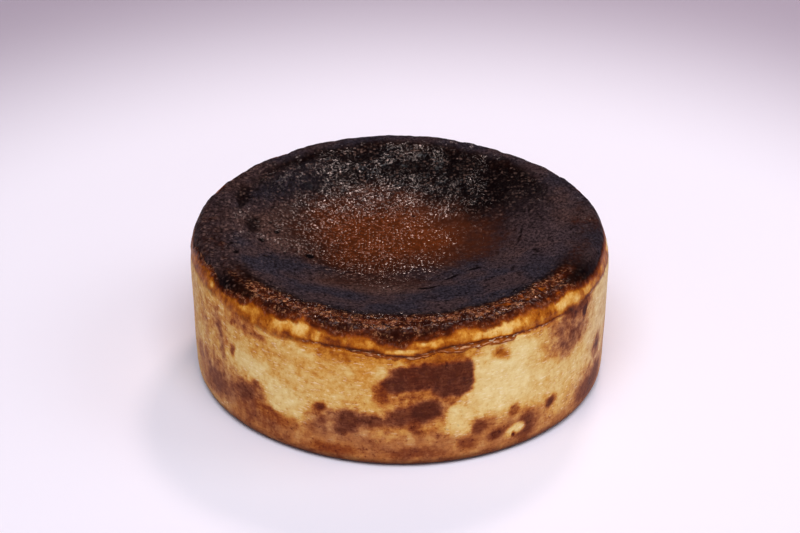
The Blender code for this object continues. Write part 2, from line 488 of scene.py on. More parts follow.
def crustGrain(p):  # how grainy it is: in the middle, on the back slope and along the front and left rim
    wander = 3.5 * grain(p, 9.0, 21)
    back = ease(-0.55, 0.75, facing(p, 196) + 0.05 * wander) * ease(14.0, 36.0, p.radius)
    back *= 1 - 0.75 * ease(62.0, 67.0, p.radius)
    core = ease(44.0, 24.0, np.hypot(p.x + 6.0, 0.9 * (p.y - 5.0)) + wander)
    core *= 0.40 + 0.60 * ease(28.0, -8.0, p.x)
    crest = ease(55.0, 62.5, p.radius + 0.5 * wander)
    crest *= 0.18 + 0.82 * ease(72, 44, degreesFrom(p, 2))
    crest *= 1 - 0.5 * ease(68.5, 70.5, p.radius)
    leftRim = ease(56, 38, degreesFrom(p, -90)) * ease(57.0, 63.0, p.radius + 0.5 * wander)
    return np.maximum(0.12, np.max([0.85 * back, core, crest, 0.75 * leftRim], axis=0))


def hollowShare(p):  # 1 in a sooty hollow, 0 outside it
    ragged = 0.3 * grain(p, 2.6, 93)
    shares = [1 - ease(0.55, 1.15, np.hypot((p.x - x) / wide, (p.y - y) / deep) + ragged)
              for x, y, wide, deep in crust["hollows"]]
    return np.max(shares, axis=0)


def crustGloss(p):  # glassy on the back slope, in the middle and on the crest, dull elsewhere
    inside = 0.26 + 0.68 * ease(-66.0, -16.0, p.x) * ease(50.0, 0.0, p.x)
    inside *= 1 - 0.80 * ease(0.0, 0.6, facing(p, 0)) * ease(26.0, 38.0, p.radius)
    inside *= 1 - 0.40 * ease(22.0, 40.0, p.y) * ease(-14.0, -32.0, p.x)
    inside *= 1 - 0.85 * ease(58.0, 62.0, p.radius) * ease(130, 100, degreesFrom(p, 0))
    crest = ease(56.0, 61.0, p.radius) * ease(56, 38, degreesFrom(p, 4))
    soot = ease(-0.10, 0.20, grain(p, 9.0, 24) + 0.4 * grain(p, 3.0, 25))
    soot = np.maximum(soot, ease(52.0, 38.0, p.radius)) * (1 - 0.95 * p.hollow)
    overRim = ease(71.5, 68.5, p.radius + 0.8 * grain(p, 3.0, 90))
    return np.maximum(inside * (0.10 + 0.90 * soot), crest) * overRim


def crustDustAndSheen(p):  # dull ash-brown, and blue-grey painted sheen, inside the rim but for the back slope, and over the far rim
    towardsBack = facing(p, 180)
    back = ease(0.05, 0.70, towardsBack + 0.10 * grain(p, 9.0, 26)) * ease(18.0, 34.0, p.radius)
    back *= 1 - 0.55 * ease(-16.0, -44.0, p.x)
    inside = (1 - back) * ease(64.0, 58.0, p.radius + 1.5 * grain(p, 5.0, 27))
    start = 54.0 + 9.0 * ease(0.2, 0.8, towardsBack)
    farRim = ease(58, 74, degreesFrom(p, 4)) * ease(start, start + 6.0, p.radius)
    return np.maximum(inside, 0.9 * farRim) * (1 - 0.85 * p.hollow)


def crustAsh(p):  # browner ash left of the middle and along the left of the rim
    wander = 3.0 * grain(p, 7.0, 94) + 2.0 * grain(p, 3.0, 95)
    rim = ease(57.0, 63.0, p.radius + 0.5 * wander) * ease(56, 38, degreesFrom(p, -88))
    return np.maximum(shareOfPatches(p, crust["ashPatches"], wander), 0.38 * rim)


# Relief of the skin, out from it

relief = {
    "lumpsOnTop": 0.56,
    "hollowsOnTop": 0.75,
    "wrinklesOnTop": 0.22,
    "domesOnTop": 0.26,
    "lumpsOnRim": 0.30,
    "cragsOnRim": 0.34,
    "farRimRise": 0.75,
    "lumpsOnSide": 0.13,
    "grainOnSide": 0.035,
    "sootHollowDepth": 0.6,
    "crackDepth": 0.35,
    # cracks in the top: angle where each starts and ends, then radius there, and how bold it is
    "cracks": [(7, 27, 33.6, 34.8, 1.0), (28, 47, 30.2, 31.0, 0.9), (46, 61, 30.2, 34.2, 0.8),
               (78, 106, 40.8, 46.4, 0.55), (73, 79, 52.4, 48.4, 0.8), (7, 22, 44.0, 45.0, 0.45),
               (36, 50, 60.5, 57.0, 0.5), (-30, -12, 40.5, 37.0, 0.45), (52, 66, 46.5, 45.0, 0.4),
               (96, 118, 53.0, 50.0, 0.4), (-62, -48, 47.0, 44.0, 0.4)],
    # pits that show: x, y, radius, depth
    "pits": [(-31.8, -9.7, 1.9, 0.7), (-57.5, -17.0, 1.5, 0.5), (-59.5, -11.0, 1.2, 0.45),
             (-49.0, -5.0, 1.6, 0.5), (-44.0, 3.0, 1.5, 0.5), (-46.5, 8.0, 1.2, 0.4),
             (5.1, 22.2, 1.5, 0.35)],
    # smaller pits strewn by chance
    "strewnPits": {"seed": 11, "count": 90, "within": 66, "radii": (0.5, 1.0), "depths": (0.1, 0.32)},
}


def crackGap(p):  # how far away the nearest crack is, more towards its faint ends
    far = 9.0
    gap = np.full(len(p.x), far)
    wander = 1.1 * grain(p, 5.0, 31) + 0.4 * grain(p, 1.9, 32)
    for begin, end, startRadius, endRadius, bold in relief["cracks"]:
        share = turnFrom(p.around, begin) / (end - begin)
        line = startRadius + (endRadius - startRadius) * share + wander
        faint = 1 - bold * ease(0.0, 0.35, share) * ease(1.0, 0.6, share)
        gap = np.minimum(gap, np.abs(p.radius - line) + 1.3 * faint)
    return np.where(p.onTop, gap, far)


def pitDepth(p):
    strewn = relief["strewnPits"]
    rng = random.Random(strewn["seed"])
    pits = list(relief["pits"])
    for _ in range(strewn["count"]):
        turn = rng.uniform(0, math.tau)
        reach = strewn["within"] * math.sqrt(rng.uniform(0.1, 1))
        pits.append((reach * math.cos(turn), reach * math.sin(turn),
                     rng.uniform(*strewn["radii"]), rng.uniform(*strewn["depths"])))
    depth = np.zeros(len(p.x))
    for x, y, size, deepest in pits:
        away = np.hypot(p.x - x, p.y - y) / size
        depth = np.maximum(depth, deepest * np.exp(-away ** 2 * 1.4))
    return depth * p.onTop


def measureSkin(p):  # how each point lies to the fold, the scorch, the cracks and the pits
    foldHeight = alongRoute(fold["route"], p.around) + 0.34 * grain(p, 4.5, 41) + 0.26 * grain(p, 1.9, 42)
    p.aboveFold = p.z - foldHeight
    p.foldShare = np.maximum(fold["least"], shareOfSpans(fold["deepSpans"], p.around))
    edge = alongRoute(crust["edge"], p.around)
    edge += 0.60 * grain(p, 4.6, 51) + 0.70 * grain(p, 2.1, 52)
    p.intoScorch = (p.z - edge) + 0.75 * (shoulderRadius(edge) - p.radius)
    p.intoScorch = np.where(p.radius < 60, 9.0, np.clip(p.intoScorch, -9.0, 9.0))
    p.roll = np.zeros(len(p.x))
    p.rollHeight = np.zeros(len(p.x))
    uneven = 1 + 0.5 * grain(p, 2.6, 43)
    for middle, half, high, thick in fold["rolls"]:
        share = ease(1.0, 0.45, degreesFrom(p, middle) / half) * uneven
        thickness = thick * np.clip(share, 0.3, 1.2)
        away = (p.aboveFold + 0.30 + thickness) / thickness
        p.roll = np.maximum(p.roll, ease(0.02, 0.3, share) * np.exp(-away ** 4))
        p.rollHeight = np.maximum(p.rollHeight, high * share * np.exp(-away ** 2))
    p.roll = np.clip(p.roll, 0, 1) * ~p.onTop
    p.hollow = hollowShare(p)
    p.grainy = crustGrain(p)
    p.crackGap = crackGap(p)
    p.pitDepth = pitDepth(p)


def skinRelief(p):  # how far each point moves out
    top = ease(46.0, 52.0, p.z) * np.maximum(ease(-0.6, 1.2, p.intoScorch), 0.15)
    behind = ease(70, 130, degreesFrom(p, 0))
    rim = ease(61.0, 66.0, p.radius) * ease(-1.0, 1.5, p.intoScorch) * (1 - 0.62 * behind)
    rough = top * (0.10 + 0.90 * crustLumps(p))
    out = rough * relief["lumpsOnTop"] * grain(p, 7.0, 1)
    out -= rough * relief["hollowsOnTop"] * ease(0.10, 0.50, grain(p, 5.0, 3))
    out += rough * relief["wrinklesOnTop"] * grain(p, 2.9, 10)
    out += rough * relief["domesOnTop"] * domes(p, 2.4, 5)
    out += rim * relief["lumpsOnRim"] * grain(p, 4.6, 2)
    out += rim * relief["cragsOnRim"] * domes(p, 2.3, 4)
    farRim = ease(60.0, 66.0, p.radius) * p.onTop * ease(29, 11, degreesFrom(p, -175))
    out += relief["farRimRise"] * farRim
    side = (1 - top) * (1 - p.inFoot)
    out += side * relief["lumpsOnSide"] * grain(p, 9.0, 6)
    out += side * relief["grainOnSide"] * grain(p, 2.4, 7)
    across = ridgeAcross(p.aboveFold, fold["fill"]) + ridgeAcross(p.aboveFold, fold["crease"])
    across += ridgeAcross(p.aboveFold, fold["lip"]) * (0.6 + 0.8 * grain(p, 1.8, 8))
    out += (across * p.foldShare + p.rollHeight) * ~p.onTop
    out -= relief["crackDepth"] * ease(1.5, 0.2, p.crackGap) + p.pitDepth
    return out - relief["sootHollowDepth"] * p.hollow * p.onTop


def wearRelief(cake):  # moves the skin's points out and in, but for those that stand on the table
    p = Places(cake.data)
    measureSkin(p)
    moved = p.metres + p.normals * (skinRelief(p) * mm)[:, None]
    standing = p.z < 0.05
    moved[standing] = p.metres[standing]
    cake.data.vertices.foreach_set("co", moved.ravel())
    cake.data.update()
    return p


places = wearRelief(cake)
print("relief worked into the skin")

# How far the side is baked, laid on like paint: broad washes first, marks over them.
# Each wash or mark: angle round, height, half width, half height, lean, softness, browning, mauve share.
# Browning runs from 0, pale cream, to 1, scorched dark; softness from 0, a crisp edge, to 1, a wash.
# A mauve share below 0 is amber.

tones = {
    "sideRadius": 74.5,  # turns degrees round the cake into mm along its side
    "washes": [
        (0, 0, 400, 8.5, 0, 1, 0.56, 0.55),  # the browner foot, all round
        (-76, 30, 24, 40, 0, 1, 0.27, 0.35),  # both sides of the view turn tan
        (76, 30, 24, 40, 0, 1, 0.18, 0.8),
        (118, 24, 36, 40, 0, 1, 0.29, 0.5),
        (-150, 24, 60, 40, 0, 1, 0.28, 0.3),
        (0, 47, 45, 3.5, 0, 1, 0.4, -0.7),  # amber under the fold
        (-45, 29, 11, 9, -20, 0.9, 0.12, 0),
        (-40, 38, 10, 6, 0, 1, 0.34, -0.4),
        (-66, 30, 8, 16, 10, 1, 0.36, 0.1),
        (-22, 34, 15, 10, 0, 0.9, 0.27, -0.3),
        (27, 31, 15, 14, 0, 0.8, 0.08, 0),
        (52, 26, 9, 7, 0, 0.9, 0.2, 0.1),
        (-34, 21, 9, 7, 0, 0.8, 0.12, 0),
        (0, 10, 50, 6, 0, 1, 0.5, 0.5),
        (6, 23, 16, 8, 0, 1, 0.48, 0.2),
        (-16, 16, 12, 7, 0, 1, 0.56, 0.7),
        (17, 18, 6, 6, -20, 0.7, 0.2, 0.1),
        (-60, 14, 20, 10, 8, 0.9, 0.5, 0.7),
        (-40, 9, 13, 6, 0, 0.9, 0.61, 0.5),
        (-57, 36, 9, 11, 12, 1, 0.38, 0.2),
        (-46, 43, 12, 4, 0, 0.9, 0.44, 0.3),
        (52, 39, 13, 9, 0, 0.9, 0.56, 0.7),
        (32, 10, 13, 7, 0, 1, 0.52, 0.5),
        (66, 8, 18, 8, 0, 0.9, 0.53, 0.7),
    ],
    "marks": [
        (8.2, 37.8, 13.8, 5.1, 5, 0.24, 0.775, 0.8),  # the big square mark in the middle
        (13.6, 36.1, 7.5, 8, 0, 0.2, 0.78, 0.8),
        (0.4, 35.6, 8.2, 3.6, 32, 0.4, 0.78, 0.7),
        (-4.8, 30, 2.6, 5.4, 12, 0.7, 0.7, 0.1),  # its tail
        (4, 29.6, 7.4, 2.2, 0, 0.9, 0.58, 0.1),
        (6.6, 22.8, 6.8, 4.4, 12, 0.7, 0.8, 0.8),  # the one below it
        (0.6, 21, 5, 4, 0, 0.7, 0.74, 0.6),
        (4.2, 16.8, 2.4, 3.8, 0, 0.7, 0.72, 0.3),
        (-9.6, 19.4, 10.8, 3, -4, 0.9, 0.72, 0.8),
        (-13.6, 18, 3.2, 4.4, -8, 0.8, 0.74, 0.8),
        (-21.6, 22.4, 2.2, 1.8, 0, 0.9, 0.76, 0.3),
        (-45.6, 16.8, 9.4, 4.8, 12, 0.95, 0.71, 0.7),  # low on the left
        (-42, 21.4, 2.8, 3.2, 0, 1, 0.6, 0.5),
        (-60, 12.4, 9.6, 5, 8, 0.9, 0.66, 0.8),
        (-72, 15, 6, 5, 0, 0.9, 0.5, 0.6),
        (-36, 12.6, 9, 2.6, -8, 0.9, 0.64, 0.2),
        (-57.4, 38, 3, 6.4, 14, 0.9, 0.52, 0.6),  # the streak on the left
        (-56.2, 29.4, 1.8, 6.6, 10, 0.9, 0.56, 0.7),
        (-66, 33, 2.4, 9, 12, 1, 0.44, 0.4),
        (-50.8, 31.2, 1.4, 2.8, 0, 0.7, 0.66, 0.4),
        (-44, 43.4, 6.4, 2.4, -10, 1, 0.54, 0.4),
        (-14, 43.8, 14, 2.6, -4, 0.9, 0.5, -1),  # orange under the fold
        (-9, 38, 4, 6, 15, 1, 0.31, -0.6),
        (2.2, 39.4, 4.4, 2.4, 8, 0.4, 0.78, 0.7),
        (4.6, 34.4, 7, 2.8, 4, 0.4, 0.78, 0.7),
        (16.4, 40.2, 3.4, 3, 0, 0.15, 0.78, 0.8),
        (27.4, 41.8, 3.6, 2.4, -35, 0.8, 0.54, -0.6),
        (9, 44.2, 15, 2.4, 0, 1, 0.54, -0.8),
        (52, 35.4, 7.2, 5, 16, 1, 0.6, 0.8),  # right, under the fold
        (50, 42.6, 9, 3.4, 0, 0.9, 0.6, 0.7),
        (56, 45.2, 8, 1.8, 0, 0.8, 0.74, 0.5),
        (58.6, 42.4, 1.5, 1.7, 0, 0.5, 0.95, 0.2),
        (69, 21.4, 5, 4.6, 0, 0.9, 0.68, 0.7),
        (44.6, 14, 3, 2.2, 15, 0.9, 0.78, 0.5),
        (66, 8, 11, 4.2, 8, 0.85, 0.74, 0.7),
        (36.2, 9.4, 4, 6.2, -12, 0.95, 0.72, 0.6),
        (32, 17.4, 2.4, 2.8, -25, 0.8, 0.6, 0.3),
        (21.2, 14.4, 2.6, 3.6, -16, 0.95, 0.74, 0.5),
        (26.6, 9.6, 4.4, 2.1, 25, 0.95, 0.76, 0.5),
        (18.4, 8.2, 4, 2.8, 0, 1, 0.66, 0.4),
        (32.4, 8.6, 3.6, 2, 22, 0.6, 0.12, 0),  # a cream island in the dark
        (31.8, 6.8, 1, 0.9, 0, 0.5, 0.88, 0.2),
        (14.6, 21.6, 2.4, 3.6, -25, 0.8, 0.1, 0),
        (-18, 5.6, 9, 2, 0, 0.9, 0.68, 0.2),
        (3, 6.2, 12, 2.4, 0, 0.9, 0.66, 0.5),
    ],
    # the golden band above the fold, laid on the same way; browning from 0, yellow cream, to 1, dark brown
    "band": [
        (-74, 50.4, 16, 3, 0, 0.9, 0.62, 0),
        (-45, 50.4, 11, 2.8, 0, 0.9, 0.54, 0),
        (-30, 50.6, 6.5, 2.2, 0, 0.9, 0.16, 0),
        (-38.5, 48.4, 2.6, 1.4, 0, 0.8, 0.5, 0),
        (-47.5, 50.8, 2, 1.8, 0, 0.7, 0.16, 0),
        (-62.5, 50.4, 2, 1.6, 0, 0.7, 0.24, 0),
        (-17, 49.8, 4.2, 3, 0, 0.9, 0.64, 0),
        (-9, 48.8, 3.8, 1.4, 0, 0.9, 0.36, 0),
        (-1, 48.6, 5, 2, 0, 0.9, 0.6, 0),
        (1, 46.9, 5.5, 0.9, 0, 0.8, 0.2, 0),
        (9, 49.8, 5, 1.2, 0, 0.8, 0.22, 0),
        (15, 50.6, 2, 1.8, 0, 0.8, 0.48, 0),
        (28, 50.8, 9, 2, 0, 0.9, 0.14, 0),
        (41, 49.6, 3, 3, 0, 0.7, 0.54, 0),
        (51, 50.4, 7.5, 2.2, 0, 0.8, 0.18, 0),
        (61, 49, 3, 2, 0, 0.8, 0.3, 0),
        (73, 49.4, 10, 3, 0, 0.9, 0.5, 0),
    ],
}
# The same sorts of mark on the sides that the photograph doesn't show, strewn by chance: how many,
# then the range of heights, half widths, half heights, browning and mauve share
hidden = {
    "seed": 23,
    "span": (84, 276),  # from the right edge of the view, round the back, to the left one
    "leans": (-25, 25),
    "washSoftness": (0.7, 1),
    "markSoftness": (0.6, 0.95),
    "bandSoftness": (0.6, 0.9),
    "washes": [(10, (12, 42), (12, 24), (6, 14), (0.34, 0.5), (0.1, 0.8)),
               (9, (16, 42), (8, 16), (6, 13), (0.1, 0.24), (0, 0.1)),
               (9, (7, 22), (12, 22), (5, 10), (0.52, 0.62), (0.3, 0.7))],
    "marks": [(9, (7, 23), (5, 11), (2.4, 4.6), (0.68, 0.8), (0.3, 0.8)),
              (5, (28, 42), (4, 9), (2.4, 5), (0.66, 0.79), (0.4, 0.9)),
              (4, (5, 26), (1.4, 3), (1.3, 2.6), (0.6, 0.74), (0.2, 0.6)),
              (8, (42, 46), (6, 14), (1.6, 2.8), (0.46, 0.6), (-1, -0.6))],
    "band": [(12, (48, 51), (5, 14), (1.8, 3), (0.36, 0.56), (0, 0)),
             (12, (48, 51), (3, 8), (1.4, 2.4), (0.04, 0.24), (0, 0))],
}


def strewMarks(rng, sorts, softness):
    strewn = []
    for count, heights, wides, talls, brownings, mauves in sorts:
        ranges = (hidden["span"], heights, wides, talls, hidden["leans"], softness, brownings, mauves)
        strewn += [tuple(rng.uniform(*limits) for limits in ranges) for _ in range(count)]
    return strewn


def growMarks(rng, marks):  # gives each strewn mark two smaller ones that run into it
    grown = []
    for around, up, wide, tall, lean, soft, level, cool in marks:
        grown.append((around, up, wide, tall, lean, soft, level, cool))
        for side in (-1, 1):
            size = rng.uniform(0.45, 0.75)
            shift = side * math.degrees(rng.uniform(0.6, 1.1) * wide / tones["sideRadius"])
            grown.append((around + shift, up + rng.uniform(-0.8, 0.8) * tall, wide * size, tall * size,
                          rng.uniform(-30, 30), soft, level - rng.uniform(0.0, 0.10), cool))
    return grown


def layMarks(p, marks, browning, mauve, warp):  # blends each mark in, its edges pulled about by the warp
    for around, up, wide, tall, lean, soft, level, cool in marks:
        across = np.radians(turnFrom(p.around, around)) * tones["sideRadius"] + warp[0]
        above = p.z - up + warp[1]
        tilt = math.radians(lean)
        u = (across * math.cos(tilt) + above * math.sin(tilt)) / wide
        v = (above * math.cos(tilt) - across * math.sin(tilt)) / tall
        square = 2.4 + 3.0 * (1 - soft) ** 4  # crisp marks are squarer
        away = (np.abs(u) ** square + np.abs(v) ** square) ** (1 / square)
        cover = 1 - ease(1 - 0.75 * soft, 1 + 0.55 * soft + 0.04, away)
        browning += (level - browning) * cover
        mauve += (cool - mauve) * cover


def redMiddle(p):  # the redder, thinner crust in the middle of the top
    wander = 4.0 * grain(p, 12.0, 61) + 2.0 * grain(p, 5.0, 62)
    return shareOfPatches(p, crust["redPatches"], wander) * p.onTop


def scorchDepth(p):  # 0 where the band starts to scorch, 1 where the crust is burnt black
    into = p.intoScorch
    turned = degreesFrom(p, 4)
    rim = 0.52 + 0.28 * ease(42, 64, turned) + 0.14 * ease(84, 120, turned)
    patches = ease(0.20, 0.55, grain(p, 4.0, 72) + 0.5 * grain(p, 2.0, 73))
    rim += 0.10 * grain(p, 6.0, 75) - 0.25 * patches * ease(34, 18, degreesFrom(p, 34))
    outer = ease(67.0, 70.5, p.radius + 0.9 * grain(p, 4.0, 74)) * ease(1.0, 2.2, into)
    rim += 0.19 * outer * ease(86, 60, turned)
    inner = ease(65.0, 58.0, p.radius + 2.0 * grain(p, 6.0, 71))
    rim += (1.0 - rim) * inner
    edge = 0.5 + 0.17 * np.minimum(into, 0)
    depth = edge + (rim - 0.5) * ease(0.0, 1.5, into)
    chips = shareOfSpans(crust["chips"], p.around + 2.6 * grain(p, 2.6, 78))
    chips *= ease(70.0, 71.8, p.radius + 0.3 * grain(p, 1.5, 77))
    return np.clip(depth - 0.8 * chips, 0, 1)


def paintTones(cake, p):  # keeps every tone as an attribute of the skin, for its material to read
    rng = random.Random(hidden["seed"])
    browning = 0.24 + 0.10 * grain(p, 13.0, 85) + 0.08 * grain(p, 6.0, 86)
    mauve = np.zeros(len(p.x))
    warp = np.array([1.7 * grain(p, 5.5, 81) + 0.9 * grain(p, 2.4, 82),
                     1.5 * grain(p, 5.0, 83) + 0.8 * grain(p, 2.2, 84)])
    washes = tones["washes"] + strewMarks(rng, hidden["washes"], hidden["washSoftness"])
    marks = strewMarks(rng, hidden["marks"], hidden["markSoftness"])
    # a paler ring round each dark mark
    washes += [(around, up, 1.9 * wide, 1.8 * tall, lean, 1.0, 0.50, 0.6)
               for around, up, wide, tall, lean, soft, level, cool in marks if level > 0.64]
    marks = growMarks(rng, marks)
    layMarks(p, washes, browning, mauve, 1.6 * warp)
    uneven = (0.08 + 0.30 * browning) * (1 - 0.45 * ease(16.0, 8.0, p.z))
    browning += uneven * (0.6 * grain(p, 6.5, 88) + 0.5 * grain(p, 2.9, 89))
    layMarks(p, marks, browning, mauve, 1.1 * warp)
    layMarks(p, tones["marks"], browning, mauve, 0.55 * warp)
    bandBrowning = 0.52 + 0.16 * grain(p, 7.0, 87)
    band = tones["band"] + strewMarks(rng, hidden["band"], hidden["bandSoftness"])
    layMarks(p, band, bandBrowning, np.zeros(len(p.x)), 0.8 * warp)
    bandBrowning += 0.12 * grain(p, 2.6, 84)
    blend = 0.25 + 1.2 * (1 - p.foldShare)
    fields = {
        "browning": browning,
        "mauve": mauve,  # below 0 it is amber instead
        "bandBrowning": bandBrowning,
        "bandShare": np.where(p.onTop, 1.0, ease(-blend, blend, p.aboveFold + 0.1)),
        "scorch": scorchDepth(p),
        "redMiddle": redMiddle(p),
        "aboveFold": np.where(p.onTop & (p.radius < 66), 9.0, np.clip(p.aboveFold, -60.0, 9.0)),
        "foldShare": p.foldShare,
        "roll": p.roll,
        "grainy": p.grainy,
        "dustAndSheen": crustDustAndSheen(p),
        "ashy": crustAsh(p),
        "gloss": crustGloss(p),
        "wrinkled": ease(14.0, 34.0, p.y + 4.0 * grain(p, 8.0, 97)) * ease(66.0, 60.0, p.radius),
        "crackGap": np.minimum(p.crackGap, 3.0),
        "pitDepth": p.pitDepth,
    }
    for name, values in fields.items():
        layer = cake.data.attributes.new(name, "FLOAT", "POINT")
        layer.data.foreach_set("value", values.astype(np.float32))


paintTones(cake, places)
print("tones laid on")

# The baked finish, from cream side to charred top

bake = {
    "warmSide": ((0.00, "F0DA9C"), (0.16, "E6C67F"), (0.34, "D8A350"), (0.50, "BE7430"), (0.64, "8E441A"),
                 (0.80, "5A200E"), (1.00, "3A1308")),
    "coolSide": ((0.00, "F0DCA8"), (0.16, "E4C48C"), (0.34, "CE9E68"), (0.50, "AC724A"), (0.64, "7E4830"),
                 (0.80, "532617"), (1.00, "36150D")),
    "band": ((0.00, "EED190"), (0.18, "E4B766"), (0.36, "D08D33"), (0.54, "A95B14"), (0.72, "76340B"),
             (1.00, "3A1607")),
    "crust": ((0.00, "C2761C"), (0.22, "A25410"), (0.36, "80380C"), (0.50, "62270A"), (0.66, "3C1609"),
              (0.82, "1E0C07"), (1.00, "090405")),
    "middle": ((0.00, "201310"), (0.35, "381B11"), (0.70, "4E220D"), (1.00, "662D0D")),
    "char": "080304",
    # painted sheen: the blue-grey of the sky mirrored on the dull slopes
    "sheenBlue": "36313A",
    "charBrown": "413234",
    "ash": "5C4038",
    "grainTopGlint": "AC887A",  # lighter tops of the crust's grains, partly caramel and partly painted glints
    "crestGlint": "CE8E64",  # painted glints: pale flecks on the crest
    "cleftShade": "260A05",  # painted shade between the crumbs of the crest
    "crease": "4A1C0A",  # painted contact shade along the line where the cake meets the table
    "speck": "5E260F",
    # painted highlight along the rolls
    "rollHighlight": "E0A878",
    # painted glints on the side's fine ridges
    "sideGlint": "FBEBC4",
    "specularLevel": 0.01,
    "sideRoughness": (0.29, 0.61),
    "crustRoughness": (0.27, 0.57),
    "coatRoughness": 0.115,
    "sideCoat": 0.05,
    "glazeCoat": 0.06,  # more, in glazed places on the side
    "bandCoat": 0.14,  # and more again, where they are on the golden band
    "rollCoat": 0.08,
    "crustCoat": (0.08, 1.0),  # between the bumps and on their tops, where the crust is glossy
    "domesApart": 1.25,
    "ridgesApart": 1.9,
    "crumbsApart": 2.3,
    "poresApart": 3.2,
    "crustBumps": 0.52,  # this and those below are heights of the bump
    "crustGrit": 0.030,
    "crackDepth": 0.12,
    "sideGrain": 0.11,
}


def foldTones(s):  # the rolled batter, and darker lines at its foot and in the crease: partly browner batter, partly painted shade under the roll and in the filled groove
    fine = s.spread(s.hills(1.5, 4, 0.65), -0.35, 0.35)
    roll = s.plus(s.field("roll"), fine)
    rolled = s.step(roll, 0.30, 0.70)
    foot = s.times(s.step(roll, 0.02, 0.25), s.step(roll, 0.60, 0.30))
    gap = s.calc("ABSOLUTE", s.plus(s.field("aboveFold"), s.times(fine, 0.8)))
    # partly painted shade: the crease line stands in for the groove filled in the relief
    crease = s.times(s.step(gap, 1.3, 0.1), s.step(s.field("foldShare"), 0.0, 0.45))
    crease = s.times(crease, s.spread(s.hills(4.0, 3, 0.6), 0.12, 0.48))
    return rolled, s.plus(s.times(foot, 0.30), crease)


def sideColour(s, setup, rolled, folded):
    browning = s.field("browning")
    mottle = s.times(s.spread(s.hills(2.8, 5, 0.66), -0.38, 0.38), s.step(browning, -0.35, 0.50))
    mottle = s.times(mottle, s.spread(s.step(browning, 0.66, 0.82), 1.15, 0.35))
    mottle = s.times(mottle, s.spread(s.step(s.height(), 0.022, 0.009), 1.0, 0.45))
    level = s.plus(s.plus(browning, mottle), s.spread(s.hills(0.9, 3, 0.60), -0.07, 0.07))
    level = s.plus(level, s.spread(s.hills(1.7, 4, 0.65, (0.45, 0.45, 2.2)), -0.10, 0.10))
    rollShare = s.times(rolled, 0.95)
    level = s.mixNumber(rollShare, level, s.spread(s.hills(1.2, 3, 0.6), 0.48, 0.84))
    level = s.plus(level, folded)
    cool = s.plus(s.field("mauve"), s.spread(s.hills(4.5, 3, 0.5), -0.3, 0.3))
    coolShare = s.step(cool, 0.0, 1.0)
    warmSide = s.ramp(level, setup["warmSide"])
    colour = s.mix(coolShare, warmSide, s.ramp(level, setup["coolSide"]))
    amber = s.calc("MAXIMUM", s.step(cool, 0.0, -0.8), rolled)
    colour = s.mix(amber, colour, s.ramp(level, setup["band"]))
    # painted highlight lines along the rolls
    rollHighlightShare = s.times(s.step(s.hills(2.8, 2, 0.5, (1, 1, 5)), 0.55, 0.66), rolled)
    colour = s.mix(s.times(rollHighlightShare, 0.6), colour, setup["rollHighlight"])
    # painted glints: light flecks on the paler side
    sideGlintShare = s.times(s.step(s.hills(1.5, 3, 0.6, (0.6, 0.6, 2)), 0.57, 0.68), s.step(browning, 0.52, 0.36))
    colour = s.mix(s.times(sideGlintShare, 0.50), colour, setup["sideGlint"])
    specks = s.times(s.step(s.hills(1.7, 3, 0.6), 0.60, 0.70), s.step(s.height(), 0.026, 0.008))
    colour = s.mix(s.times(specks, 0.42), colour, setup["speck"])
    # painted contact shade: the foot darkens towards the table
    foot = s.plus(s.height(), s.spread(s.hills(4.0), -0.0012, 0.0012))
    return s.mix(s.times(s.step(foot, 0.0048, 0.0008), 0.85), colour, setup["crease"])


def bandColour(s, setup, folded):  # the golden band above the fold
    level = s.plus(s.field("bandBrowning"), s.spread(s.hills(3.2, 4, 0.62, (1, 1, 0.55)), -0.46, 0.46))
    level = s.plus(level, s.spread(s.hills(1.1, 4, 0.7), -0.20, 0.20))
    return s.ramp(s.plus(level, folded), setup["band"])


